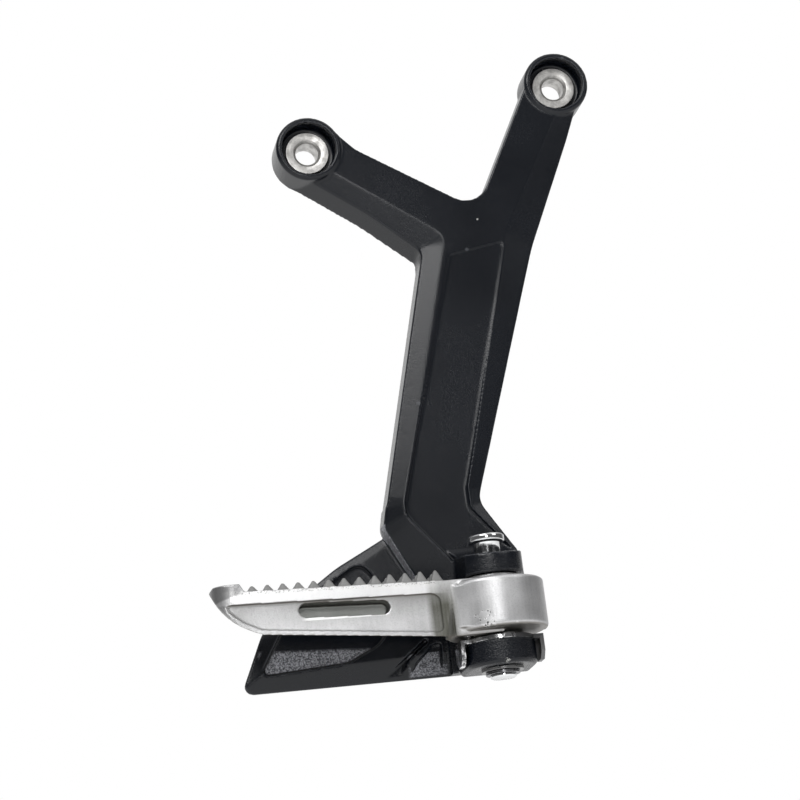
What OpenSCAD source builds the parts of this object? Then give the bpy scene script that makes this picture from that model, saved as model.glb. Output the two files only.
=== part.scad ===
// Motorcycle pillion footrest bracket with a folding footpeg, millimetres.
// X runs to the right, +Z up along the pivot pin, and -Y out of the motorcycle.
// The origin is the right bolt bore on the rear mounting plane.

/* [Bolt bosses] */
// Distance between the two bolt bores
bolt_pitch = 105; // [90:1:125]
// Drop of the left bolt bore below the right one
bolt_drop = 21.2; // [10:0.5:30]
// Outer diameter of each boss
boss_d = 26; // [24:0.5:30]
// Depth of each boss, from the rear plane to its rim
boss_h = 16; // [14:0.5:20]
// Diameter of the recess round the bolt head
recess_d = 21.5; // [19:0.5:22.5]
// Thickness of the boss floor under the collar flange
floor_t = 8; // [5:0.5:10]

/* [Bolt collars] */
// Diameter of the collar flange
flange_d = 17; // [15:0.5:18.5]
// Thickness of the collar flange
flange_t = 2; // [1:0.25:3]
// Outer diameter of the collar sleeve
sleeve_d = 13; // [11.5:0.5:14]
// Bore of the collar, a clearance hole for an M8 bolt
bolt_d = 9; // [8.4:0.1:10]
// Chamfer at the mouth of the collar bore
mouth_chamfer = 1.1; // [0.3:0.1:1.2]

/* [Arms and stem] */
// Thickness of the stem and arms at their ridge
stem_t = 15; // [13:0.5:15.5]
// Height of the slope from the ridge to the outer edge
slope_h = 3; // [1:0.25:4]
// Width of the sloped border beside the elbow
border_w = 10; // [6:0.5:12]
// Radius of the crotch between the two arms
crotch_r = 9.5; // [4:0.5:14]
// Radius inside the elbow of the left arm
elbow_r = 5; // [2:0.5:10]
// Lean of the wall under the left arm, outward from its front edge to its back
arm_lean = 2.3; // [0:0.1:3]
// Depth of the sunk face at the foot of the stem
sunk_depth = 1.6; // [0.5:0.1:2]
// Step from the rear plane of the bosses to the back of the arms and guard
back_step = 1; // [0.4:0.1:1.5]

/* [Pivot] */
// Distance of the pivot from the right bolt bore, to the left
pivot_left = 55.5; // [54:0.5:57]
// Distance of the pivot in front of the rear plane
pivot_out = 26; // [25:0.5:30]
// Drop of the middle of the fork below the right bolt bore
pivot_drop = 212.7; // [211:0.5:216]
// Gap of the fork between its two lugs
fork_gap = 25.5; // [24:0.25:27]
// Radius of the lower lug
lug_r = 13.4; // [12:0.2:15]
// Radius of the upper lug
upper_lug_r = 12.6; // [11.4:0.2:13]
// Reach of the upper lug to the left of the pivot
lug_left_r = 10.6; // [9.5:0.1:11.5]
// Thickness of the upper lug at its front
upper_lug_t = 7.2; // [5:0.2:9]
// Thickness of the lower lug
lower_lug_t = 9.3; // [7:0.2:11]
// Slope of the top of the upper lug, in degrees
lug_slope = 9; // [0:1:14]

/* [Pivot pin] */
// Diameter of the pin
pin_d = 10; // [8:0.5:11]
// Diameter of the pin head
pin_head_d = 14; // [13:0.5:17]
// Thickness of the pin head
pin_head_t = 2.9; // [2:0.1:4]
// Length of bare shank between the head and the front of the upper lug
pin_stand_off = 5.8; // [4.5:0.1:8]
// Thickness of the washer under the lower lug
washer_t = 1; // [0.8:0.1:1.6]
// Diameter of the washer
washer_d = 16; // [15:0.5:20]
// Thickness of the retaining clip
clip_t = 1; // [0.8:0.1:1.4]
// Diameter of the retaining clip
clip_d = 13; // [12:0.5:15]
// Depth of the clip groove in the pin
groove_depth = 1; // [0.6:0.1:1.4]
// Length of the pin below the clip
pin_tail = 1.4; // [0.6:0.1:2]

/* [Click plate] */
// Thickness of the click plate
plate_t = 1.6; // [1.2:0.1:2]
// Length of the bent tabs of the click plate
tab_len = 9.4; // [6:0.2:11]
// Width of the bent tabs
tab_w = 12; // [8:0.5:14]
// Gap between each tab and the side of the lower lug
tab_gap = 0.9; // [0.3:0.1:1.2]
// Diameter of the ball of the detent
ball_d = 6.35; // [5:0.05:6.5]
// Distance of the ball from the pivot
ball_offset = 9.6; // [9.4:0.1:9.8]
// Diameter of the seats of the ball in the click plate
seat_d = 4.6; // [4:0.1:5]
// Wire diameter of the detent spring
spring_wire = 0.9; // [0.6:0.1:1.1]
// Turns of the detent spring
spring_turns = 5; // [4:1:7]
// Free space above the ball for the spring
spring_len = 9; // [7:0.5:10]

/* [Peg hub] */
// Radius of the hub
hub_r = 19.4; // [19:0.1:20]
// Top of the hub above the middle of the fork
hub_top = 10; // [9:0.1:11]
// Foot of the hub below the middle of the fork
hub_foot = 9; // [8.5:0.1:10]
// Distance of the stop faces of the hub from the pivot
stop_dist = 18.6; // [18:0.1:18.8]
// Rounding of the edges of the hub
hub_edge_r = 1.4; // [0.5:0.1:2]
// Distance from the pivot to the end of the shoulders of the hub
neck_x = 18.1; // [17.5:0.1:19]

/* [Peg body] */
// Length of the peg from the pivot to its tip
peg_len = 107; // [100:0.5:125]
// Width of the peg
peg_w = 24; // [22:0.5:28]
// Height of the peg rim above the middle of the hub, at the hub
rim_z = 11; // [10.6:0.1:12.4]
// Rise of the rim from the hub to the tip
rim_rise = 2.4; // [0:0.2:3]
// Underside of the peg below the middle of the hub, at the hub
under_z = 10.4; // [10.2:0.1:11]
// Rise of the underside of the peg from the hub to the tip
under_rise = 7; // [3:0.5:9]
// Height of the end lip above the rim
lip_h = 3.2; // [1:0.2:5]
// Width of the end lip along the peg
lip_w = 10.5; // [6:0.5:12]
// Width of the rim round the tread
rim_w = 2.4; // [1.5:0.1:3.5]
// Depth of the sunk panel in each side
panel_depth = 1.2; // [0.6:0.1:2]
// Length of the pocket in each side
slot_len = 34; // [20:1:44]
// Height of the pocket in each side
slot_h = 5.3; // [3:0.1:6.5]
// Depth of the pocket in each side
slot_depth = 8; // [3:0.5:9]
// Tilt of the underside across the peg, in degrees
under_tilt = 13.5; // [0:0.5:16]
// Tilt of the nose across the peg, in degrees
nose_tilt = 18; // [0:0.5:20]
// Length of the hollow in the underside
core_len = 54; // [20:1:58]
// Width of the hollow in the underside
core_w = 11; // [5:0.5:13]

/* [Tread teeth] */
// Pitch of the teeth along the peg
tooth_pitch = 5.77; // [5:0.05:7]
// Number of teeth in a row
tooth_count = 13; // [6:1:13]
// Number of rows across the peg
tooth_rows = 3; // [2:1:4]
// Height of the tooth tips above the middle of the hub
tooth_top = 15.9; // [14.5:0.1:17]

/* [Heel guard] */
// Thickness of the heel guard at its ridges
guard_t = 4.5; // [4:0.25:6]
// Height of the slope at the border of the heel guard
guard_slope_h = 2; // [0.5:0.25:2.5]
// Width of the border of the heel guard at its outer corner
guard_border_w = 6.8; // [4:0.2:9]
// Depth of the pockets in the heel guard
pocket_depth = 2; // [0.5:0.1:2.5]
// Reach of the heel guard to the left of the pivot
guard_reach = 95.8; // [85:1:105]
// Height of the lower edge of the heel guard below the middle of the fork
guard_below = 19.3; // [17:0.5:21]

/* [Clearances] */
// Radial running clearance of the pin, the collars and the ball
run_gap = 0.05; // [0.03:0.01:0.09]
// Clearance between faces that pass each other
face_gap = 0.3; // [0.2:0.05:0.4]
// Ride of the clip and washer under the lower lug
clip_gap = 0.2; // [0.1:0.05:0.4]
// Wall left between the lower land of the hub and the ball pocket
land_gap = 0.2; // [0.1:0.05:0.4]

/* [Hidden] */
$fn = 64;
eps = 0.01;

left_bolt = [-sqrt(bolt_pitch * bolt_pitch - bolt_drop * bolt_drop), -bolt_drop];
collar_h = floor_t + flange_t;
pivot = [-pivot_left, -pivot_out, -pivot_drop];
fork_half = fork_gap / 2;
wall_dist = stop_dist + face_gap;
lug_top = fork_half + upper_lug_t;
lug_foot = -fork_half - lower_lug_t;
pin_bore_d = pin_d + 2 * run_gap;
loose_bore_d = pin_bore_d + 0.4;
plate_top = -fork_half + plate_t;
head_z = lug_top + pin_stand_off;
washer_top = lug_foot - clip_gap;
clip_top = washer_top - washer_t - clip_gap;
pin_foot = clip_top - clip_t - pin_tail;
groove_d = pin_d - 2 * groove_depth;
peg_half_w = peg_w / 2;
ball_r = ball_d / 2;
ball_bore_d = ball_d + 2 * run_gap;
seat_r = seat_d / 2;
ball_z = plate_top + ball_r;
pocket_top = ball_z + ball_r + spring_len;

// Vector helpers for outlines in a plane
function unit(v) = v / norm(v);
function cross2(a, b) = a[0] * b[1] - a[1] * b[0];

// Points of the arc of radius r that rounds the corner q between p and s
function corner_arc(p, q, s, r, steps) =
    let (a = unit(p - q),
         b = unit(s - q),
         half = acos(a * b) / 2,
         centre = q + unit(a + b) * r / sin(half),
         from = q + a * r / tan(half) - centre,
         sweep = (180 - 2 * half) * sign(cross2(q - p, s - q)),
         start = atan2(from[1], from[0]))
    [for (k = [0:steps]) centre + r * [cos(start + sweep * k / steps), sin(start + sweep * k / steps)]];

// Closed outline with each corner rounded by its own radius, a radius of 0 keeps it sharp
function rounded(p, r, steps = 5) =
    let (n = len(p))
    [for (i = [0:n - 1]) each r[i] == 0 ? [p[i]]
        : corner_arc(p[(i + n - 1) % n], p[i], p[(i + 1) % n], r[i], steps)];

// Solid of a flat outline in X and Z, from depth y0 to depth y1 in front of the rear plane
module slab(y0, y1) {
    translate([0, -y0, 0]) rotate([90, 0, 0]) linear_extrude(y1 - y0) children();
}

module at_left_bolt() {
    translate([left_bolt[0], 0, left_bolt[1]]) children();
}

// Cylinder along Y from depth y0 to depth y1 in front of the rear plane
module bar_y(d, y0, y1, d1 = 0) {
    translate([0, -y0, 0]) rotate([90, 0, 0]) cylinder(h = y1 - y0, d1 = d, d2 = d1 == 0 ? d : d1);
}

// Cutter that slopes the face at depth front away, on the right of the ridge line from a to b
module slope_cut(a, b, front, fall) {
    run = b - a;
    past = 300;
    side = 300;
    translate([a[0], -front, a[1]]) rotate([0, -atan2(run[1], run[0]), 0])
        translate([-past, 0, 0]) rotate([90, 0, 90]) linear_extrude(norm(run) + 2 * past)
            polygon([[0, 0], [-10, 0], [-10, -side], [fall * side, -side]]);
}

// Foot of the stem, which carries the fork
foot_z = pivot[2] + fork_half;
stem_left = pivot[0] - 35.8;
stem_right = pivot[0] + lug_r + 1.1;
border_fall = slope_h / border_w;
// Outline of the arms and stem, counter-clockwise from the right boss
elbow = [-62.6, -65.5];
stem_foot = [stem_left, foot_z + 25.6];
stem_outline = [[-11, 3], [-14.9, -4.6], [-38.7, -50.4], left_bolt + [18.2, -1.1], left_bolt + [9.6, 8.2],
    left_bolt + [-10, -13], elbow + [-6.4, -7.5], stem_foot,
    [stem_left + 12.8, foot_z], [stem_right, foot_z], [stem_right, foot_z + 12.3],
    [pivot[0] + 2.1, foot_z + 32.8], [-18.5, -67.5], [1.4, -24], [8.8, -6.2]];
stem_radii = [0, 12, crotch_r, 14, 0, 0, 0, 6, 0, 0, 2, 8, 100, 40, 0];
// Front edge of the wall under the left arm and down the left of the stem
wall_front = 12;
wall_edge = rounded([left_bolt + [-6.2, -8.8], [-83, -48.4], elbow, stem_foot], [0, 60, elbow_r, 0], 3);
// Ridges between the flat face and its sloped borders
left_boss_ridge = left_bolt + [7.3, -9.4];
elbow_ridge = [-63 + border_w, -60.4];
foot_ridge = [stem_left + 7.4, foot_z + 31];
lug_ridge = [pivot[0] - lug_left_r, foot_z + 10.4];
right_boss_ridge = [-1.5, -12];
bend_ridge = [-28.5, -60];
waist_ridge = [pivot[0] - 1.4, foot_z + 38];
right_foot_ridge = [pivot[0] - 1.2, foot_z + 30];
right_lug_ridge = [stem_right - 1.4, foot_z + 13];

// Left ridge with its elbow and foot rounded, and right ridge with its foot and bend rounded
ridge_steps = 3;
left_ridge = rounded([left_boss_ridge, elbow_ridge, foot_ridge, lug_ridge], [0, 6, 9, 0], ridge_steps);
right_ridge = rounded([right_lug_ridge, right_foot_ridge, waist_ridge, bend_ridge, right_boss_ridge],
    [0, 3, 6, 30, 0], ridge_steps);
elbow_end = ridge_steps + 1;

module face_slab() {
    slab(back_step, stem_t) polygon([[-150, 30], [-150, foot_z - 5], [30, foot_z - 5], [30, 30]]);
}

// Face that slopes away along the left ridge of the arm and stem, and round the foot
module left_face() {
    // Height above the foot up to which the rounding of the foot is cut
    foot_reach = 60;
    difference() {
        for (i = [0:elbow_end]) difference() {
            face_slab();
            slope_cut(left_ridge[i], left_ridge[i + 1], stem_t, border_fall);
        }
        for (i = [elbow_end + 1:len(left_ridge) - 2]) intersection() {
            slope_cut(left_ridge[i], left_ridge[i + 1], stem_t, border_fall);
            translate([-150, -50, foot_z - 20]) cube([200, 60, foot_reach + 20]);
        }
    }
}

// Face that slopes away along the right ridge, steeply beside the lug
module right_face() {
    for (i = [0:len(right_ridge) - 2]) difference() {
        face_slab();
        slope_cut(right_ridge[i], right_ridge[i + 1], stem_t, i == 0 ? 1 : border_fall);
    }
}

// Sunk face of the stem, deepest at its foot
module sunk_face() {
    outline = [elbow_ridge + [0.3, -8], foot_ridge + [0.5, -0.5], lug_ridge + [0.6, -2],
        [stem_right - 2.4, foot_z + 8], right_lug_ridge + [-1, 0], right_foot_ridge + [-0.4, 0],
        waist_ridge + [-0.5, 0], bend_ridge + [-0.8, -4]];
    high = elbow_ridge[1] + 25;
    fall = atan(sunk_depth / (high - foot_z));
    translate([0, -stem_t, high]) rotate([fall, 0, 0]) translate([0, 0, -high])
        slab(0, 5) polygon(rounded(outline, [2, 8, 2, 0, 1, 3, 3, 2]));
}

// What lies outside the wall along a line from a to b that leans out toward the back
module wall_cut(a, b, lean) {
    run = b - a;
    past = 200;
    side = 100;
    front = stem_t + 5;
    back = back_step - 5;
    per_mm = lean / (wall_front - back_step);
    translate([a[0], 0, a[1]]) rotate([0, -atan2(run[1], run[0]), 0])
        translate([-past, 0, 0]) rotate([90, 0, 90]) linear_extrude(norm(run) + 2 * past)
            polygon([[-back, per_mm * (back - wall_front)], [-front, per_mm * (front - wall_front)],
                [-front, -side], [-back, -side]]);
}

// Wall that leans out under the arm and comes upright round the elbow
module outer_wall() {
    last = len(wall_edge) - 2;
    arm_end = 4;
    intersection_for (i = [0:last])
        wall_cut(wall_edge[i], wall_edge[i + 1], arm_lean * min(1, (last - i) / (last - arm_end)));
}

module stem() {
    difference() {
        intersection() {
            slab(back_step, stem_t + 1) polygon(rounded(stem_outline, stem_radii));
            left_face();
            right_face();
        }
        sunk_face();
        outer_wall();
    }
}

// Profile of the upper lug from the side, with the hollow that sweeps up into the stem
module upper_lug() {
    sweep_r = 9;
    front = -pivot_out - upper_lug_r;
    face = -stem_t + 1;
    // Height of the sloped top at the foot of the hollow
    hollow_y = face - sweep_r * cos(lug_slope);
    hollow_z = pivot[2] + lug_top + (hollow_y - front) * tan(lug_slope);
    front_z = hollow_z - (hollow_y - front + 1) * tan(lug_slope);
    side = concat([[face + 3, foot_z], [front - 1, foot_z], [front - 1, front_z]],
        [for (a = [0:10:90]) [hollow_y + sweep_r * (sin(a - lug_slope) + sin(lug_slope)),
            hollow_z + sweep_r * (cos(lug_slope) - cos(a - lug_slope))]],
        [[face + 3, hollow_z + sweep_r * cos(lug_slope)]]);
    r = upper_lug_r;
    root_w = r + stem_right - pivot[0] - 0.6;
    // The hollow ends beside the ridge at the foot of the stem
    hollow_end = lug_ridge + 0.65 * (foot_ridge - lug_ridge) + [0.8, 0];
    lug_left = pivot[0] - lug_left_r;
    lug_right = stem_right - 1;
    intersection() {
        translate([-200, 0, 0]) rotate([90, 0, 90]) linear_extrude(250) polygon(side);
        translate([pivot[0], pivot[1], foot_z - eps]) union() {
            cylinder(h = 30, r = r);
            translate([-r, 0, 0]) cube([2 * r, pivot_out - stem_t + 3, 30]);
            translate([-r, pivot_out - stem_t - sweep_r, 0]) cube([root_w, sweep_r + 3, 30]);
        }
        slab(0, 60) polygon([[lug_left, foot_z], [lug_right, foot_z], [lug_right, foot_z + 11.5],
            [pivot[0] + 6, foot_z + 24], hollow_end, [lug_left + 0.2, foot_z + 11]]);
    }
}

// Lower lug, whose flat underside ends short of the wall and rises to the edge of the guard
module lower_lug() {
    lug_z = pivot[2] + lug_foot;
    flat_end = 13;
    chamfer = 1;
    intersection() {
        translate([pivot[0], pivot[1], lug_z]) {
            cylinder(h = chamfer, r1 = lug_r - chamfer, r2 = lug_r);
            translate([0, 0, chamfer]) cylinder(h = lower_lug_t - chamfer, r = lug_r);
            rotate([90, 0, 180]) linear_extrude(pivot_out - 3)
                polygon([[-lug_r, chamfer], [-lug_r + chamfer, 0], [lug_r - chamfer, 0], [lug_r, chamfer],
                    [lug_r, lower_lug_t], [-lug_r, lower_lug_t]]);
        }
        translate([-200, 0, 0]) rotate([90, 0, 90]) linear_extrude(250)
            polygon([[-60, lug_z - 1], [-flat_end, lug_z - 1], [-flat_end, lug_z],
                [-flat_end + 3, guard_foot], [0, guard_foot], [0, foot_z - 5], [-60, foot_z - 5]]);
    }
}

// Wall behind the hub that joins the two lugs
module fork_wall() {
    depth = pivot_out - wall_dist;
    wall_left = pivot[0] - 15;
    slab(back_step, depth) polygon(rounded([[wall_left, guard_foot], [stem_right, guard_foot],
        [stem_right, foot_z + 2], [wall_left, foot_z + 2]], [0, 3, 0, 0]));
}

guard_left = pivot[0] - guard_reach;
guard_foot = pivot[2] - guard_below;
guard_outline = [[stem_left + 7.3, foot_z + 26.4], [guard_left + 41.3, foot_z + 13.2],
    [guard_left + 11.5, foot_z - 6.9], [guard_left, guard_foot], [stem_right, guard_foot],
    [stem_right, foot_z + 8]];
guard_radii = [0, 40, 20, 3, 3, 0];
guard_fall = guard_slope_h / guard_border_w;

// Guard with its border sloped along the upper, left and lower edges
module guard_plate() {
    w = guard_border_w;
    corner = guard_outline[3] + [1.3 * w, w];
    ridge = [guard_outline[0] + [0, -0.5 * w], guard_outline[1] + [0.3 * w, -0.6 * w],
        guard_outline[2] + [0.8 * w, -0.6 * w], corner, corner + [w, 0.03 * w]];
    difference() {
        slab(back_step, guard_t) polygon(rounded(guard_outline, guard_radii));
        for (i = [0:len(ridge) - 2]) slope_cut(ridge[i], ridge[i + 1], guard_t, guard_fall);
    }
}

// Pockets in the front of the heel guard, from the left to the fork
module guard_pockets() {
    floor_y = guard_t - pocket_depth;
    right = pivot[0];
    slab(floor_y, guard_t + 3) {
        polygon(rounded([[right - 44.8, foot_z + 15], [right - 73.7, foot_z - 2],
            [right - 88.4, guard_foot + 6], [right - 53.6, guard_foot + 8.2],
            [right - 39.8, guard_foot + 14.7], [right - 33, foot_z - 3]], [5, 12, 2, 12, 12, 6]));
        polygon(rounded([[right - 40.6, guard_foot + 1.6], [right - 34.2, guard_foot + 2.2],
            [right - 30.5, guard_foot + 7.5], [right - 22.6, guard_foot + 13.5],
            [right - 23.5, guard_foot + 15]], [0.5, 1, 6, 0, 0]));
        polygon(rounded([[right - 31.2, guard_foot + 1.4], [right - 18.2, guard_foot + 1.2],
            [right - 17.6, guard_foot + 13], [right - 21.3, guard_foot + 12.3],
            [right - 28.2, guard_foot + 6]], [1, 1, 1, 2, 5]));
    }
}

module boss_body() {
    rim_chamfer = 0.9;
    bar_y(boss_d, 0, boss_h - rim_chamfer);
    bar_y(boss_d, boss_h - rim_chamfer, boss_h, boss_d - 2 * rim_chamfer);
}

module boss_cuts() {
    bar_y(recess_d, floor_t, boss_h + 1);
    bar_y(sleeve_d + 2 * run_gap, -1, floor_t + 1);
}

// One casting: two bosses, arms, stem, fork and heel guard
module bracket() {
    color([0.10, 0.10, 0.11]) difference() {
        union() {
            stem();
            boss_body();
            at_left_bolt() boss_body();
            upper_lug();
            lower_lug();
            fork_wall();
            difference() {
                guard_plate();
                guard_pockets();
            }
        }
        boss_cuts();
        at_left_bolt() boss_cuts();
        translate([pivot[0], pivot[1], pivot[2] + lug_foot - 1])
            cylinder(h = lug_top - lug_foot + 20, d = pin_bore_d);
    }
}

// Flanged steel collar that the bolt clamps
module collar() {
    color([0.62, 0.61, 0.58]) difference() {
        union() {
            bar_y(sleeve_d, 0, collar_h - eps);
            bar_y(flange_d, floor_t, collar_h);
        }
        bar_y(bolt_d, -1, collar_h + 1);
        bar_y(bolt_d, collar_h - mouth_chamfer, collar_h + eps, bolt_d + 2 * mouth_chamfer);
    }
}

module collar_right() { collar(); }
module collar_left() { at_left_bolt() collar(); }

// The peg is drawn with its length along +X and turned to lie folded along the guard
module in_folded_place() {
    translate(pivot) rotate([0, 0, 180]) children();
}

// Hub edge rounded top and bottom
module hub_solid(r) {
    e = hub_edge_r;
    rotate_extrude() polygon(concat([[0, -hub_foot]],
        [for (a = [-90:22.5:0]) [r - e + e * cos(a), e - hub_foot + e * sin(a)]],
        [for (a = [0:22.5:90]) [r - e + e * cos(a), hub_top - e + e * sin(a)]],
        [[0, hub_top]]));
}

// Hub with flats that meet the wall of the fork when the peg is folded and when it is out
module hub() {
    big = 3 * hub_r;
    intersection() {
        union() {
            hub_solid(stop_dist);
            intersection() {
                hub_solid(hub_r);
                union() {
                    translate([-stop_dist, 0, -big / 2]) cube([big, big, big]);
                    translate([0, -stop_dist, -big / 2]) cube([big, big, big]);
                }
            }
        }
        translate([-stop_dist, -stop_dist, -big / 2]) cube([big, big, big]);
    }
    // Lands that run against the upper lug and the click plate
    cylinder(h = fork_half - face_gap, r = lug_left_r);
    translate([0, 0, plate_top + face_gap]) cylinder(h = hub_foot, r = ball_offset - ball_r - land_gap);
}

// Flat shoulder from the round of the hub to the neck, on one side of the peg body
module neck_shoulder() {
    end = neck_x - 0.4;
    touch_r = hub_r - 0.05;
    turn = atan2(peg_half_w, end) + acos(touch_r / norm([end, peg_half_w]));
    touch = touch_r * [cos(turn), sin(turn)];
    difference() {
        translate([0, 0, hub_edge_r - hub_foot]) linear_extrude(hub_top + hub_foot - 2 * hub_edge_r)
            polygon([[end, peg_half_w - 2], [end, peg_half_w], touch, touch * 0.9]);
        under_slant();
    }
}

// Hollow beside the shoulder, which widens and deepens toward the underside
module neck_notch() {
    top = 3.7;
    lean = 12;
    wide = 10;
    deep = 7.6;
    translate([neck_x, peg_half_w, top]) rotate([-lean, 0, 0]) translate([0, 0, -40]) linear_extrude(40)
        polygon([[0, 0], [wide, deep], [0, deep]]);
}

// Side view of the peg body, from inside the hub to the tip
rim_end = rim_z + rim_rise;
lip_foot = peg_len - lip_w - 1.6;
peg_root = 20;
nose_len = 17.5;
nose_h = 13.6;
nose_from = peg_len - nose_len;
under_tip = under_rise - under_z;
under_angle = atan(under_rise / (nose_from - peg_root));
rim_angle = atan(rim_rise / (lip_foot - peg_root));
tread_sink = 0.2;
core_from = 29;
core_top = -1.2;
// Curve of the nose, half way between an ellipse and its chord
nose = [for (a = [0:11.25:90])
    [nose_from + nose_len * (sin(a) + a / 90) / 2, under_tip + nose_h * (1 - cos(a) + a / 90) / 2]];
body_side = concat([[0, -under_z], [peg_root, -under_z]], nose,
    [[peg_len, rim_end + lip_h - 1.2], [peg_len - 1.2, rim_end + lip_h],
     [peg_len - lip_w, rim_end + lip_h - 0.3], [lip_foot, rim_end], [peg_root, rim_z], [0, rim_z]]);

// Outline of the peg body seen from above, with the corners of its tip rounded
module peg_plan() {
    tip_r = 8;
    polygon(rounded([[0, -peg_half_w], [peg_len, -peg_half_w], [peg_len, peg_half_w], [0, peg_half_w]],
        [0, tip_r, tip_r, 0], 8));
}

// Sunk panel outline in one side, seen from the side
module side_panel() {
    from = peg_root + 2.5;
    top = rim_z - 4.7;
    foot = 1.9 - under_z;
    polygon(rounded([[from, top], [from, foot], [nose_from + 0.5, foot + under_rise],
        [peg_len - 10.5, foot + under_rise + 3.2], [peg_len - 5.5, foot + under_rise + 7.6],
        [peg_len - 4.5, top + rim_rise]], [3.5, 2, 6, 6, 2, 0.5]));
}

// Pocket in one side, with round ends
module side_pocket() {
    between = slot_len - slot_h;
    translate([58.5, rim_z - 7.2]) rotate(rim_angle + 0.8) {
        translate([between / 2, 0]) circle(d = slot_h);
        translate([-between / 2, 0]) circle(d = slot_h);
        square([between, slot_h], center = true);
    }
}

// Underside slanted up toward the side that faces the guard when the peg is folded
module under_slant() {
    reach = peg_w + 2;
    translate([10, peg_half_w, -under_z - 10 * tan(under_angle)]) rotate([0, -under_angle, 0])
        rotate([90, 0, 90]) linear_extrude(2 * peg_len)
            polygon([[0, 0], [-reach, reach * tan(under_tilt)], [-reach, -10], [0, -10]]);
}

// Nose slanted in the same way, along each face of its curve
module nose_slant() {
    reach = peg_w + 2;
    past = 40;
    for (k = [0:len(nose) - 2]) {
        run = nose[k + 1] - nose[k];
        rise = atan2(run[1], run[0]);
        // The end of the tip leans half as much as the rest of the nose
        lean = nose_tilt * min(1, 1.5 - rise / 90);
        translate([nose[k][0], peg_half_w, nose[k][1]]) rotate([0, -rise, 0])
            translate([-past, 0, 0]) rotate([90, 0, 90]) linear_extrude(norm(run) + 2 * past)
                polygon([[0, 0], [-reach, reach * tan(lean)], [-reach, -20], [0, -20]]);
    }
}

// Hollow cored into the underside
module under_core() {
    translate([core_from, -core_w / 2, -30]) cube([core_len, core_w, 30 + core_top]);
}

module both_sides() {
    children();
    mirror([0, 1, 0]) children();
}

// Solid from the side plane y inward by depth
module from_side(depth) {
    translate([0, peg_half_w + 1, 0]) rotate([90, 0, 0]) linear_extrude(depth + 1) children();
}

// Place at the root of the rim, turned to follow its rise
module on_rim(lift) {
    translate([peg_root, 0, rim_z]) rotate([0, -rim_angle, 0]) translate([0, 0, lift]) children();
}

// Rows of pointed teeth made by crossing two saw-tooth profiles, with a small land at each valley
tooth_first = 22.3;
valley_land = 0.3;
module teeth() {
    tread_w = peg_w - 2 * rim_w;
    row_pitch = tread_w / tooth_rows;
    root = -2 * tread_sink;
    peak = tooth_top - rim_z + 1;
    half_x = (tooth_pitch - valley_land) / 2;
    half_y = (row_pitch - valley_land) / 2;
    intersection() {
        rotate([90, 0, 0]) linear_extrude(tread_w, center = true) for (i = [0:tooth_count - 1])
            let (x = tooth_first + i * tooth_pitch,
                z = rim_z + (x - peg_root) * tan(rim_angle) + root,
                rise = tooth_top - z)
            translate([x, z]) polygon([[-half_x, 0], [half_x, 0], [0.5, rise], [-0.5, rise]]);
        on_rim(root - 0.1) translate([-1, 0, 0]) rotate([90, 0, 90])
            linear_extrude(tooth_count * tooth_pitch + 3)
            for (j = [0:tooth_rows - 1]) translate([(j + 0.5) * row_pitch - tread_w / 2, 0])
                polygon([[-half_y, 0], [half_y, 0], [0.6, peak], [-0.6, peak]]);
    }
}

module footpeg() {
    color([0.78, 0.79, 0.79]) in_folded_place() difference() {
        union() {
            hub();
            both_sides() neck_shoulder();
            difference() {
                intersection() {
                    rotate([90, 0, 0]) linear_extrude(peg_w + 2, center = true) polygon(body_side);
                    translate([0, 0, -30]) linear_extrude(60) peg_plan();
                }
                // Tread sunk between the rims and the end lip
                on_rim(-tread_sink) translate([-2, rim_w - peg_half_w, 0])
                    cube([lip_foot - peg_root + 2, peg_w - 2 * rim_w, 20]);
                under_slant();
                nose_slant();
                under_core();
                both_sides() neck_notch();
                both_sides() from_side(panel_depth) side_panel();
                both_sides() from_side(slot_depth) side_pocket();
            }
            teeth();
        }
        cylinder(h = 60, d = pin_bore_d, center = true);
        translate([ball_offset, 0, -hub_foot - 2])
            cylinder(h = pocket_top + hub_foot + 2, d = ball_bore_d);
    }
}

module pivot_pin() {
    chamfer = 0.5;
    color([0.86, 0.87, 0.88]) translate(pivot) rotate_extrude() polygon([
        [0, pin_foot], [pin_d / 2 - chamfer, pin_foot], [pin_d / 2, pin_foot + chamfer],
        [pin_d / 2, clip_top - clip_t - 0.1], [groove_d / 2, clip_top - clip_t - 0.1],
        [groove_d / 2, clip_top + 0.1], [pin_d / 2, clip_top + 0.1], [pin_d / 2, head_z],
        [pin_head_d / 2 - chamfer, head_z], [pin_head_d / 2, head_z + chamfer],
        [pin_head_d / 2, head_z + pin_head_t - chamfer], [pin_head_d / 2 - chamfer, head_z + pin_head_t],
        [0, head_z + pin_head_t]]);
}

module pin_washer() {
    color([0.70, 0.71, 0.72]) translate(pivot + [0, 0, washer_top - washer_t]) difference() {
        cylinder(h = washer_t, d = washer_d);
        translate([0, 0, -1]) cylinder(h = washer_t + 2, d = loose_bore_d);
    }
}

// Open retaining clip that sits in the groove of the pin
module pin_clip() {
    mouth = groove_d * 0.82;
    color([0.62, 0.63, 0.64]) translate(pivot + [0, 0, clip_top - clip_t]) difference() {
        cylinder(h = clip_t, d = clip_d);
        translate([0, 0, -1]) cylinder(h = clip_t + 2, d = groove_d + 2 * run_gap);
        translate([-mouth / 2, 0, -1]) cube([mouth, clip_d, clip_t + 2]);
        for (a = [-1, 1]) rotate(a * 38 - 90) translate([groove_d / 2 + 0.6, 0, -1])
            cylinder(h = clip_t + 2, d = 1.8, $fn = 24);
    }
}

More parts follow.
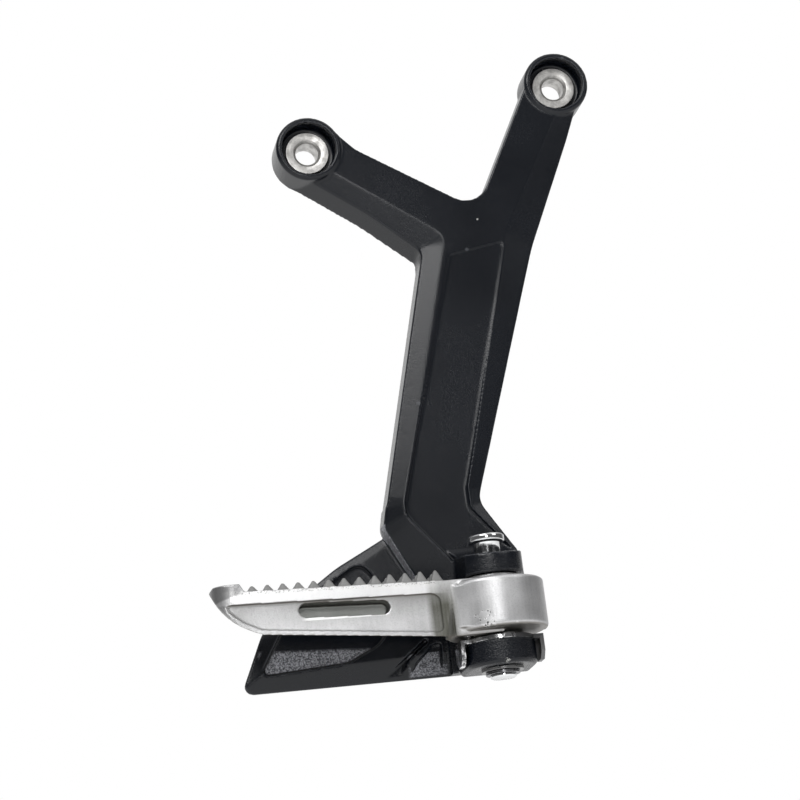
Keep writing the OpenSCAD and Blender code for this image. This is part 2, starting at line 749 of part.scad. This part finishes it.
// Pressed plate with two bent tabs that hold it on the lower lug
module click_plate() {
    tab_x = lug_r + tab_gap;
    tab_half = tab_w / 2;
    plate_r = lug_r - 0.1;
    // Chamfer of the lower corners of the tabs
    c = 3;
    color([0.80, 0.81, 0.82]) translate(pivot) difference() {
        union() {
            translate([0, 0, -fork_half]) cylinder(h = plate_t, r = plate_r);
            for (s = [-1, 1]) {
                translate([s > 0 ? 0 : -tab_x, -tab_w / 2, -fork_half]) cube([tab_x, tab_w, plate_t]);
                translate([s * (tab_x + plate_t / 2) - plate_t / 2, 0, plate_top]) rotate([90, 0, 90])
                    linear_extrude(plate_t) polygon([[-tab_half, 0], [-tab_half, c - tab_len],
                        [c - tab_half, -tab_len], [tab_half - c, -tab_len], [tab_half, c - tab_len],
                        [tab_half, 0]]);
            }
        }
        translate([0, 0, -fork_half - 1]) cylinder(h = plate_t + 2, d = loose_bore_d);
        // Ball seats for the folded and the open peg
        for (a = [180, 270]) rotate(a) translate([ball_offset, 0, -fork_half - 1])
            cylinder(h = plate_t + 2, d = seat_d);
    }
}

module detent_ball() {
    color([0.75, 0.76, 0.78]) in_folded_place() translate([ball_offset, 0, ball_z + eps])
        rotate_extrude() polygon([for (a = [-90:22.5:90]) ball_r * [abs(a) == 90 ? 0 : cos(a), sin(a)]]);
}

// Coil spring above the ball, swept along its helix
module detent_spring() {
    sides = 6;
    per_turn = 12;
    wire_r = spring_wire / 2;
    coil_gap = 0.2;
    coil_r = ball_r - wire_r - coil_gap;
    z0 = ball_z + ball_r + wire_r + coil_gap - run_gap;
    z1 = pocket_top - wire_r - coil_gap + run_gap;
    count = spring_turns * per_turn;
    function spot(k) = [coil_r * cos(k * 360 / per_turn), coil_r * sin(k * 360 / per_turn),
        z0 + (z1 - z0) * k / count];
    points = [for (k = [0:count], j = [0:sides - 1])
        let (a = k * 360 / per_turn, b = j * 360 / sides)
        spot(k) + wire_r * [cos(a) * cos(b), sin(a) * cos(b), sin(b)]];
    faces = concat([[for (j = [0:sides - 1]) j]],
        [for (k = [0:count - 1], j = [0:sides - 1])
            [k * sides + j, (k + 1) * sides + j, (k + 1) * sides + (j + 1) % sides,
                k * sides + (j + 1) % sides]],
        [[for (j = [0:sides - 1]) count * sides + sides - 1 - j]]);
    color([0.55, 0.56, 0.58]) in_folded_place() translate([ball_offset, 0, 0])
        polyhedron(points = points, faces = faces, convexity = 10);
}

bracket();
collar_right();
collar_left();
footpeg();
pivot_pin();
pin_washer();
pin_clip();
click_plate();
detent_ball();
detent_spring();
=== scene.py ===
"""Looks of the motorcycle footrest bracket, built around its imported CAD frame."""

import bmesh
import bpy
from mathutils import Matrix, Vector


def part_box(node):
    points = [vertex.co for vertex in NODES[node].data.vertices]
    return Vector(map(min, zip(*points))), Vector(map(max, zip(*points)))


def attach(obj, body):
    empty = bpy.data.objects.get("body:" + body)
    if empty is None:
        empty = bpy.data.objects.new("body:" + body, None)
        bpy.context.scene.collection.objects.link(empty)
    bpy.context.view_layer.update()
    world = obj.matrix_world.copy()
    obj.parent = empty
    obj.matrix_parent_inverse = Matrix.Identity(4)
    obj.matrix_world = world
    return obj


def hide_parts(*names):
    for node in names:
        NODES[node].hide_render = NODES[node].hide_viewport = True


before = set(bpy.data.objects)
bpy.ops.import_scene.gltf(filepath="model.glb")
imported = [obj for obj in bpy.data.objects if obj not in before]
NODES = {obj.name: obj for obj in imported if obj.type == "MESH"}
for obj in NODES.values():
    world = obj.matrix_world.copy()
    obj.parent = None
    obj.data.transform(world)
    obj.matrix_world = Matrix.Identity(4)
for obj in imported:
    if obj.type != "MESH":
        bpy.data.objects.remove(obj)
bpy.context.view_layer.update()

# Angles between faces, in radians: flatter edges are dissolved, sharper ones are shaded crisp,
# and the sharpest are broken
FLAT_ANGLE = 0.01
CRISP_ANGLE = 0.45
BREAK_ANGLE = 0.6
# Width of a broken edge on a machined piece and on a thin one, and the distance that welds points
BROKEN_EDGE = 0.00012
THIN_EDGE = 0.00006
WELD = 1e-7

# Places on the black casting, in metres. A pair holds the ends of a mask, from its low end to its
# high end where both ends bound it, and from 0 to 1 where it only rises or falls. A line is a
# point's x and z and the line's slope.
POCKET_FLOOR_Y = (-0.0033, -0.0013)
POCKET_FLOOR_NORMAL_Y = (-0.93, -0.985)
LARGE_POCKET_X = (-0.1435, -0.1000)
LARGE_POCKET_BOTTOM = (-0.2262, -0.2256)
# Painted shadow of the peg: above this line the large pocket's floor stays dark
PEG_SHADOW_LINE = (0.0, -0.2246, -0.056)
PEG_SHADOW_EDGE = (0.0009, -0.0006)
SMALL_POCKET_X = (-0.0865, -0.0712)
SMALL_POCKET_Z = (-0.2315, -0.2222)
POCKET_SOFT = 0.0005
STEM_FOOT_X = (-0.094, -0.068)
STEM_FOOT_Y = (-0.0125, -0.003)
STEM_FOOT_Z = (-0.203, -0.173)
STEM_FOOT_NORMAL_X = (-0.55, -0.8)
LUGS_X = (-0.0800, -0.0740)
LUGS_Z = (-0.1930, -0.1960)
LUG_CHIP = (-0.0560, -0.0394, -0.2343)
LUG_CHIP_RADIUS = 0.0009
STEM_CHIPS = (
    ((-0.0645, -0.0149, -0.1177), 0.00032),
    ((-0.0425, -0.0149, -0.0954), 0.00026),
    ((-0.0786, -0.0149, -0.1636), 0.00026),
    ((-0.0394, -0.0149, -0.0547), 0.0003),
)

# Places on the peg. The rim of its tread rises toward the tip, and heights are over that rim.
PEG_FRONT, PEG_BACK = -0.038, -0.014
RIM_LINE = (-0.0755, -0.2017, -0.032)
TEETH_X = (-0.1500, -0.070)
TEETH_HEIGHT = (0.0001, 0.0006)
RIM_X = (-0.156, -0.078)
RIM_HEIGHT = (-0.0013, 0.0002)
# A painted highlight along the rounded rim
RIM_HIGHLIGHT_X = (-0.158, -0.079)
RIM_HIGHLIGHT_HEIGHT = (-0.0047, 0.0002)
SIDE_X = (-0.1600, -0.0760)
SIDE_HEIGHT = (-0.0046, -0.0052)
SHADE_HEIGHT = (-0.0150, -0.0050)
LIP_LINE = (-0.1625, -0.203, 0.26)
LIP_X = (-0.1500, -0.1530)
LIP_HEIGHT = (-0.0003, 0.0004)
NECK_X = (-0.0822, -0.0726)
NECK_Z = (-0.2025, -0.2110)
SLOT_LINE = (-0.112, -0.200532, -0.018)
SLOT_X = (-0.1320, -0.0960)
SLOT_Y = (PEG_FRONT + 0.0022, PEG_BACK - 0.0022)
SLOT_HEIGHT = (-0.0112, -0.0035)
SLOT_LIP_HIGHLIGHT_X = (-0.1290, -0.0990)
SLOT_LIP_HIGHLIGHT_Y = (PEG_FRONT + 0.0020, PEG_FRONT + 0.0014)
SLOT_LIP_HIGHLIGHT_HEIGHT = (-0.0118, -0.0100)
UNDERSIDE_NORMAL_Z = (-0.35, -0.75)
HUB_FOOT_X = (-0.0740, -0.0720)
HUB_FOOT_Z = (-0.2212, -0.2236)
SCAR = (-0.0640, -0.046, -0.2188)
SCAR_RADIUS = 0.0044

# The right tab of the click plate begins here
DARK_TAB_X = (-0.0530, -0.0515)

# Stage: a pale floor, and what surfaces see of the studio, where 1 is white
FLOOR_COLOR = (0.93, 0.93, 0.93)
FLOOR_ROUGHNESS = 0.9
FLOOR_Z = -0.56
FLOOR_REACH = 9
DIFFUSE_LIGHT = 0.95
ROOM_IN_FRONT = 0.11
BACKDROP_FOOT = 0.3
CEILING = 0.85
AIM = (-0.06, -0.03, -0.18)
LAMPS = (
    # name, place, width, height, power in watts
    ("softbox", (-0.15, -1.285, 0.12), 0.22, 0.4, 2.8),
    ("high_left", (-0.53, -0.94, 0.60), 0.7, 0.4, 8.0),
    ("fill_right", (0.75, -0.75, 0.45), 0.5, 0.5, 1.5),
)


def grey(level):
    return (level, level, level)


def darker(color, share):
    return tuple(channel * share for channel in color)


def is_socket(value):
    return hasattr(value, "is_linked")


class Nodes:
    """Short helpers for the nodes of a material or of the world."""

    def __init__(self, tree):
        self.tree = tree

    def set(self, node, socket, value):
        """Links a socket to an input, or writes a plain value there."""
        target = node.inputs[socket]
        if is_socket(value):
            self.tree.links.new(value, target)
        else:
            target.default_value = value

    def node(self, kind, **sockets):
        node = self.tree.nodes.new("ShaderNode" + kind)
        for key, value in sockets.items():
            self.set(node, key.replace("_", " "), value)
        return node

    def split(self, vector):
        """The X, Y and Z of a vector."""
        node = self.tree.nodes.new("ShaderNodeSeparateXYZ")
        self.tree.links.new(vector, node.inputs[0])
        return node.outputs[0], node.outputs[1], node.outputs[2]

    def range(self, value, low, high, out_low=0.0, out_high=1.0):
        """out_low at low and out_high at high, straight between them and level outside."""
        node = self.node("MapRange", Value=value, From_Min=low, From_Max=high,
                         To_Min=out_low, To_Max=out_high)
        return node.outputs["Result"]

    def math(self, operation, *values):
        node = self.tree.nodes.new("ShaderNodeMath")
        node.operation = operation
        for i, value in enumerate(values):
            self.set(node, i, value)
        return node.outputs[0]

    def add(self, a, b):
        return self.math("ADD", a, b)

    def minus(self, a, b):
        return self.math("SUBTRACT", a, b)

    def times(self, a, b):
        return self.math("MULTIPLY", a, b)

    def most(self, a, b):
        return self.math("MAXIMUM", a, b)


class Mat(Nodes):
    """A node material with noise, masks and a base colour that is built up layer by layer."""

    def __init__(self, name, color, metallic, roughness, **sockets):
        self.mat = bpy.data.materials.new(name)
        self.mat.use_nodes = True
        self.mat.diffuse_color = (*color, 1)
        super().__init__(self.mat.node_tree)
        self.bsdf = self.tree.nodes["Principled BSDF"]
        self.set(self.bsdf, "Base Color", (*color, 1))
        self.set(self.bsdf, "Metallic", metallic)
        self.set(self.bsdf, "Roughness", roughness)
        for key, value in sockets.items():
            self.set(self.bsdf, key.replace("_", " "), value)
        self.base = color
        coords = self.tree.nodes.new("ShaderNodeTexCoord")
        self.place = coords.outputs["Object"]
        self.x, self.y, self.z = self.split(self.place)
        self.nx, self.ny, self.nz = self.split(coords.outputs["Normal"])

    def stretched(self, scale):
        return self.node("Mapping", Vector=self.place, Scale=scale).outputs["Vector"]

    def noise(self, scale, detail=2.0, rough=0.5, vector=None):
        node = self.node("TexNoise", Vector=vector or self.place, Scale=scale, Detail=detail,
                         Roughness=rough)
        return node.outputs["Fac"]

    def cells(self, scale):
        return self.node("TexVoronoi", Vector=self.place, Scale=scale).outputs["Distance"]

    def mix(self, factor, a, b):
        node = self.tree.nodes.new("ShaderNodeMix")
        node.data_type = "RGBA"
        # The sockets of a colour mix share their names with those of other mixes
        self.set(node, 0, factor)
        for socket, color in ((6, a), (7, b)):
            self.set(node, socket, color if is_socket(color) else (*color, 1))
        return node.outputs[2]

    def tint(self, color, mask, strength=None):
        """Lays a colour over the base colour where the mask says so."""
        if strength is not None:
            mask = self.times(mask, strength)
        self.base = self.mix(mask, self.base, color)

    def both(self, *masks):
        """All the masks at once."""
        product = masks[0]
        for mask in masks[1:]:
            product = self.times(product, mask)
        return product

    def between(self, value, low, high, soft=0.0002):
        """1 where the value lies between low and high, with soft ends."""
        rise = self.range(value, low - soft, low + soft)
        fall = self.range(value, high - soft, high + soft, 1.0, 0.0)
        return self.times(rise, fall)

    def over(self, line):
        """Height over a line that runs along X."""
        x, z, slope = line
        return self.minus(self.minus(self.z, z), self.times(self.minus(self.x, x), slope))

    def pointed(self, low, high):
        """How far an edge stands out, or sinks in where low is above high."""
        geometry = self.tree.nodes.new("ShaderNodeNewGeometry")
        return self.range(geometry.outputs["Pointiness"], low, high)

    def near(self, spot, radius, wobble=0.4, scale=900.0):
        """1 inside a ragged patch round a spot of the object, 0 outside it."""
        shift = self.node("VectorMath", Vector=self.place)
        shift.operation = "SUBTRACT"
        self.set(shift, 1, spot)
        length = self.tree.nodes.new("ShaderNodeVectorMath")
        length.operation = "LENGTH"
        self.set(length, 0, shift.outputs["Vector"])
        edge = self.range(self.noise(scale, 3.0), 0.3, 0.7,
                          radius * (1 - wobble), radius * (1 + wobble))
        return self.math("LESS_THAN", length.outputs["Value"], edge)

    def finished(self, roughness, *layers):
        """The material, with layers of (height, distance in metres) of bump, the broadest first."""
        self.set(self.bsdf, "Base Color", self.base)
        self.set(self.bsdf, "Roughness", roughness)
        normal = None
        for height, distance in layers:
            bump = self.node("Bump", Height=height, Distance=distance, Strength=1.0)
            if normal is not None:
                self.set(bump, "Normal", normal)
            normal = bump.outputs["Normal"]
        self.set(self.bsdf, "Normal", normal)
        return self.mat


def raw_casting(m):
    """The pocket floors of the guard and the wall at the foot of the stem, left rough. Above a line
    under the peg the large pocket's floor keeps its dark paint, as painted shadow of the peg.
    """
    # Painted shadow: the lighter raw floor of the large pocket stops at a line under the peg
    large = m.both(m.between(m.x, *LARGE_POCKET_X, POCKET_SOFT), m.range(m.z, *LARGE_POCKET_BOTTOM),
                   m.range(m.over(PEG_SHADOW_LINE), *PEG_SHADOW_EDGE))
    small = m.both(m.between(m.x, *SMALL_POCKET_X, POCKET_SOFT), m.between(m.z, *SMALL_POCKET_Z))
    floors = m.both(m.between(m.y, *POCKET_FLOOR_Y), m.range(m.ny, *POCKET_FLOOR_NORMAL_Y),
                    m.most(large, small))
    foot = m.both(m.between(m.x, *STEM_FOOT_X), m.between(m.z, *STEM_FOOT_Z),
                  m.range(m.nx, *STEM_FOOT_NORMAL_X), m.between(m.y, *STEM_FOOT_Y))
    return m.most(floors, foot)


def black_paint():
    """Satin paint with small chips and convex edges lightened as a painted highlight, grainy on the
    lugs and on raw casting.
    """
    m = Mat("satin_black_paint", (0.0035, 0.0045, 0.0070), 0.0, 0.32, IOR=1.38)
    grain = m.noise(2300, 2.0, 0.6)
    coarse = m.noise(1500, 3.0, 0.7)
    peel = m.noise(420, 2.0)
    cloud = m.noise(28, 3.0)
    raw = raw_casting(m)
    chips = m.near(LUG_CHIP, LUG_CHIP_RADIUS, 0.8, 1500.0)
    for spot, radius in STEM_CHIPS:
        chips = m.most(chips, m.near(spot, radius))
    m.base = m.mix(m.range(cloud, 0.35, 0.7), (0.0025, 0.0034, 0.0055), (0.0040, 0.0052, 0.0080))
    # Painted highlight: convex edges lighter, as where rounded edges catch the light
    m.tint((0.050, 0.053, 0.060), m.pointed(0.520, 0.565), 0.6)
    m.tint((0.30, 0.305, 0.33), raw, m.range(coarse, 0.42, 0.62, 0.15, 1.0))
    m.tint((0.24, 0.24, 0.23), chips)
    smooth = m.range(m.add(cloud, m.times(grain, 0.5)), 0.4, 1.1, 0.21, 0.30)
    height = m.add(grain, m.times(m.times(raw, coarse), 3.0))
    lugs = m.both(m.range(m.x, *LUGS_X), m.range(m.z, *LUGS_Z))
    orange_peel = m.times(m.noise(1900, 1.0), m.range(lugs, 0.0, 1.0, 0.13, 1.0))
    return m.finished(m.most(smooth, m.times(raw, 0.6)),
                      (peel, 0.00002), (orange_peel, 0.00020), (height, 0.00004))


def cast_aluminium():
    """Bare casting: dark teeth and a scarred hub, with painted light: painted highlights on the
    rim, the slot's lower lip and the convex edges, and painted shade in the hollows, on the end
    lip, the neck, the underside, in the slot and on the side panel under the rim.
    """
    m = Mat("cast_aluminium", (0.66, 0.66, 0.66), 0.85, 0.42)
    grain = m.noise(1700, 3.0, 0.65)
    cloud = m.noise(70, 3.0)
    streak = m.noise(700, 2.0, 0.5, m.stretched((1, 1, 0.08)))

    height = m.over(RIM_LINE)
    teeth = m.both(m.range(height, *TEETH_HEIGHT), m.between(m.x, *TEETH_X))
    rim = m.both(m.between(height, *RIM_HEIGHT), m.between(m.x, *RIM_X))
    rim_highlight = m.both(m.between(height, *RIM_HIGHLIGHT_HEIGHT), m.between(m.x, *RIM_HIGHLIGHT_X, 0.001))
    side = m.both(m.between(m.x, *SIDE_X, 0.002), m.range(height, *SIDE_HEIGHT))
    uneven = m.add(height, m.range(cloud, 0.3, 0.7, -0.0025, 0.0025))
    shade = m.range(uneven, *SHADE_HEIGHT, 0.05, 0.75)
    lip = m.both(m.range(m.over(LIP_LINE), *LIP_HEIGHT), m.range(m.x, *LIP_X))
    neck = m.both(m.between(m.x, *NECK_X, 0.0012), m.range(m.z, *NECK_Z, 0.25, 1.0))
    slot_height = m.over(SLOT_LINE)
    slot = m.both(m.between(m.y, *SLOT_Y, 0.0003), m.between(m.x, *SLOT_X),
                  m.between(slot_height, *SLOT_HEIGHT))
    slot_lip_highlight = m.both(m.between(slot_height, *SLOT_LIP_HIGHLIGHT_HEIGHT),
                      m.between(m.x, *SLOT_LIP_HIGHLIGHT_X, 0.0015), m.range(m.y, *SLOT_LIP_HIGHLIGHT_Y))
    underside = m.range(m.nz, *UNDERSIDE_NORMAL_Z)
    hub_foot = m.both(m.range(m.z, *HUB_FOOT_Z), m.range(m.x, *HUB_FOOT_X))
    specks = m.both(rim, m.range(m.noise(2200, 2.0), 0.54, 0.62))
    scar = m.near(SCAR, SCAR_RADIUS, 0.35, 500.0)
    pits = m.both(scar, m.range(m.cells(1000), 0.42, 0.32),
                  m.range(m.noise(420, 2.0), 0.44, 0.50))

    tone = m.add(m.times(cloud, 0.7), m.times(streak, 0.3))
    m.base = m.mix(m.range(tone, 0.35, 0.65), (0.46, 0.46, 0.465), (0.60, 0.60, 0.605))
    m.tint(grey(0.30), m.range(grain, 0.5, 0.68, 0.0, 0.35))
    # Painted shade: darker in the hollows and creases
    m.tint((0.13, 0.13, 0.115), m.pointed(0.485, 0.44), 0.75)
    # Painted highlight: convex edges lighter
    m.tint(grey(0.88), m.pointed(0.52, 0.57), 0.6)
    # Painted shade: the side panel darker toward its top, under the rim
    m.tint((0.20, 0.20, 0.195), side, shade)
    # Painted highlight: a bright strip along the rounded rim
    m.tint(grey(0.76), rim_highlight, 0.6)
    # Painted highlight: the slot's lower lip bright, as where it catches light from above
    m.tint(grey(0.95), slot_lip_highlight, 0.8)
    # Painted shade inside the slot
    m.tint((0.17, 0.18, 0.165), slot, 0.75)
    # Painted shade: the neck between body and hub darkened
    m.tint((0.09, 0.09, 0.072), neck, m.range(streak, 0.3, 0.7, 0.75, 0.95))
    # Painted shade: faces turned down and the foot of the hub darkened
    m.tint((0.13, 0.12, 0.105), m.most(hub_foot, underside), 0.8)
    m.tint((0.10, 0.10, 0.095), specks, 0.6)
    m.tint((0.17, 0.17, 0.165), teeth, 0.8)
    # Painted shade: the end lip at the tip darkened
    m.tint(grey(0.14), lip, m.range(cloud, 0.3, 0.7, 0.6, 0.9))
    m.tint(grey(0.85), scar, 0.3)
    m.tint(grey(0.03), pits)
    rough = m.range(m.add(grain, cloud), 0.7, 1.3, 0.33, 0.46)
    dull = m.most(m.times(teeth, 0.2), m.times(neck, 0.3))
    return m.finished(m.add(rough, dull), (cloud, 0.00010), (streak, 0.000006),
                      (grain, 0.00005), (pits, -0.0001))


def plated(name, color, rough, scratch=0.5):
    """Plating with faint clouds and fine lines."""
    m = Mat(name, color, 1.0, rough)
    fine = m.noise(700, 3.0)
    cloud = m.noise(120, 2.0)
    lines = m.noise(900, 2.0, 0.5, m.stretched((0.15, 1, 2.5)))
    m.tint(darker(color, 0.72), m.range(cloud, 0.3, 0.75))
    return m.finished(m.range(m.add(fine, lines), 0.7, 1.4, rough * 0.75, rough * 1.5),
                      (cloud, 0.00004 * scratch), (lines, 0.00002 * scratch))


def patchy_plate():
    """Plating with dark patches that break its glints up as a painted reflection, and darker on its
    right tab.
    """
    m = Mat("patchy_plating", (0.80, 0.80, 0.80), 1.0, 0.16)
    # Painted reflection: dark patches break the bright plating into broken glints; the right tab is
    # darker too
    patch = m.range(m.noise(260, 3.0, 0.6), 0.44, 0.54)
    dark_patches = m.most(patch, m.range(m.x, *DARK_TAB_X))
    m.base = m.mix(m.times(dark_patches, 0.9), (0.90, 0.90, 0.91), (0.05, 0.05, 0.052))
    return m.finished(m.range(dark_patches, 0.0, 1.0, 0.10, 0.34),
                      (m.noise(300, 2.0), 0.00008), (m.noise(1400, 2.0), 0.00002))


def turned(name, color, rough, centre):
    """Steel with stains and faint turning marks round a centre, about the Y axis."""
    m = Mat(name, color, 1.0, rough)
    dx = m.minus(m.x, centre[0])
    dz = m.minus(m.z, centre[2])
    rings = m.tree.nodes.new("ShaderNodeTexNoise")
    rings.noise_dimensions = "1D"
    m.set(rings, "W", m.math("SQRT", m.add(m.times(dx, dx), m.times(dz, dz))))
    m.set(rings, "Scale", 3200.0)
    marks = rings.outputs["Fac"]
    stain = m.noise(330, 3.0, 0.6)
    m.tint(darker(color, 0.55), m.range(stain, 0.40, 0.66))
    m.tint(darker(color, 0.5), m.range(marks, 0.45, 0.7, 0.0, 0.4))
    return m.finished(m.range(m.add(stain, marks), 0.7, 1.3, rough * 0.8, rough * 1.4),
                      (stain, 0.00003), (marks, 0.00002))


PAINT = black_paint()
CAST = cast_aluminium()
ZINC = plated("dull_zinc", (0.30, 0.30, 0.30), 0.30, 1.0)
CHROME = plated("bright_plating", (0.86, 0.87, 0.88), 0.10)
PLATE = patchy_plate()
SPRING = plated("spring_steel", (0.22, 0.22, 0.23), 0.26)


def new_object(name, data):
    ob = bpy.data.objects.new(name, data)
    bpy.context.scene.collection.objects.link(ob)
    return ob


def settle(ob):
    """Turns the object's modifiers into its mesh, with smooth faces."""
    graph = bpy.context.evaluated_depsgraph_get()
    mesh = bpy.data.meshes.new_from_object(ob.evaluated_get(graph))
    ob.modifiers.clear()
    ob.data = mesh
    for face in mesh.polygons:
        face.use_smooth = True


def dress(ob, mat):
    ob.data.materials.clear()
    ob.data.materials.append(mat)


def stand_in(ob, node, mat, body):
    """Puts a finished piece in the place of its CAD solid."""
    dress(ob, mat)
    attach(ob, body)
    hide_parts(node)


def casting(node, name, mat, body, voxel, rounds, keep):
    """A cast piece as a closed skin with soft edges, smoothed and then thinned."""
    ob = new_object(name, NODES[node].data.copy())
    remesh = ob.modifiers.new("skin", "REMESH")
    remesh.mode = "VOXEL"
    remesh.voxel_size = voxel
    soft = ob.modifiers.new("soft", "SMOOTH")
    soft.factor = 0.5
    soft.iterations = rounds
    thin = ob.modifiers.new("thin", "DECIMATE")
    thin.ratio = keep
    settle(ob)
    stand_in(ob, node, mat, body)


def machined(node, name, mat, body, bevel=BROKEN_EDGE):
    """A machined or pressed piece with true round faces and a broken edge."""
    mesh = NODES[node].data.copy()
    shape = bmesh.new()
    shape.from_mesh(mesh)
    bmesh.ops.remove_doubles(shape, verts=shape.verts, dist=WELD)
    bmesh.ops.dissolve_limit(shape, angle_limit=FLAT_ANGLE, verts=shape.verts, edges=shape.edges)
    shape.to_mesh(mesh)
    shape.free()
    ob = new_object(name, mesh)
    edge = ob.modifiers.new("edge", "BEVEL")
    edge.width = bevel
    edge.segments = 1
    edge.limit_method = "ANGLE"
    edge.angle_limit = BREAK_ANGLE
    edge.use_clamp_overlap = True
    settle(ob)
    ob.data.set_sharp_from_angle(angle=CRISP_ANGLE)
    stand_in(ob, node, mat, body)


casting("bracket", "bracket_casting", PAINT, "bracket",
        voxel=0.0005, rounds=4, keep=0.30)
casting("footpeg", "peg_casting", CAST, "peg",
        voxel=0.0004, rounds=3, keep=0.45)
for node in ("collar_right", "collar_left"):
    low, high = (Vector(v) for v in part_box(node))
    steel = turned(node + "_steel", (0.62, 0.61, 0.59), 0.42, (low + high) / 2)
    machined(node, node + "_turned", steel, "bracket")
machined("pivot_pin", "pin_turned", CHROME, "bracket")
machined("click_plate", "plate_pressed", PLATE, "bracket")
machined("pin_washer", "washer_pressed", ZINC, "bracket", THIN_EDGE)
machined("pin_clip", "clip_pressed", SPRING, "bracket", THIN_EDGE)
dress(NODES["detent_ball"], CHROME)
dress(NODES["detent_spring"], SPRING)


def pale_floor():
    """A wide floor under the part, which keeps its shadow."""
    corners = [(x * FLOOR_REACH, y * FLOOR_REACH, FLOOR_Z)
               for x, y in ((-1, -1), (1, -1), (1, 1), (-1, 1))]
    mesh = bpy.data.meshes.new("floor")
    mesh.from_pydata(corners, [], [(0, 1, 2, 3)])
    mat = bpy.data.materials.new("floor_paint")
    mat.use_nodes = True
    bsdf = mat.node_tree.nodes["Principled BSDF"]
    bsdf.inputs["Base Color"].default_value = (*FLOOR_COLOR, 1)
    bsdf.inputs["Roughness"].default_value = FLOOR_ROUGHNESS
    mesh.materials.append(mat)
    new_object("floor", mesh)


def studio_world():
    """Even light on dull surfaces; gloss mirrors a white backdrop and ceiling and a dim front."""
    world = bpy.data.worlds.new("studio")
    bpy.context.scene.world = world
    world.use_nodes = True
    w = Nodes(world.node_tree)
    path = w.node("LightPath").outputs
    _, depth, height = w.split(w.node("TexCoord").outputs["Generated"])
    backdrop = w.times(w.range(depth, 0.35, 0.9, ROOM_IN_FRONT, 1.0),
                       w.range(height, -0.35, 0.0, BACKDROP_FOOT, 1.0))
    mirrored = w.most(backdrop, w.range(height, 0.40, 0.75, 0.0, CEILING))
    plain = w.most(path["Is Camera Ray"], w.times(path["Is Diffuse Ray"], DIFFUSE_LIGHT))
    background = world.node_tree.nodes["Background"]
    w.set(background, "Color", (1, 1, 1, 1))
    w.set(background, "Strength", w.most(plain, mirrored))


def lamp(name, place, width, height, power):
    light = bpy.data.lights.new(name, "AREA")
    light.shape = "RECTANGLE"
    light.size = width
    light.size_y = height
    light.energy = power
    ob = new_object(name, light)
    ob.location = place
    way = Vector(AIM) - Vector(place)
    ob.rotation_euler = way.to_track_quat("-Z", "Y").to_euler()


def photo_camera():
    """The camera of the photo, solved from its vanishing directions and the round faces."""
    camera = bpy.data.cameras.new("photo_camera")
    camera.sensor_width = 36
    camera.lens = 132.75
    camera.clip_start = 0.05
    camera.clip_end = 50
    right = (0.979615, -0.159878, -0.121631)
    up = (0.075929, -0.265877, 0.961012)
    out = (-0.185984, -0.950657, -0.248318)
    eye = (-0.290444, -1.094433, -0.407490)
    view = new_object("photo_camera", camera)
    view.matrix_world = Matrix(((*right, 0), (*up, 0), (*out, 0), (*eye, 1))).transposed()
    bpy.context.scene.camera = view


pale_floor()
studio_world()
for lamp_row in LAMPS:
    lamp(*lamp_row)
photo_camera()
bpy.context.scene.view_settings.view_transform = "Standard"
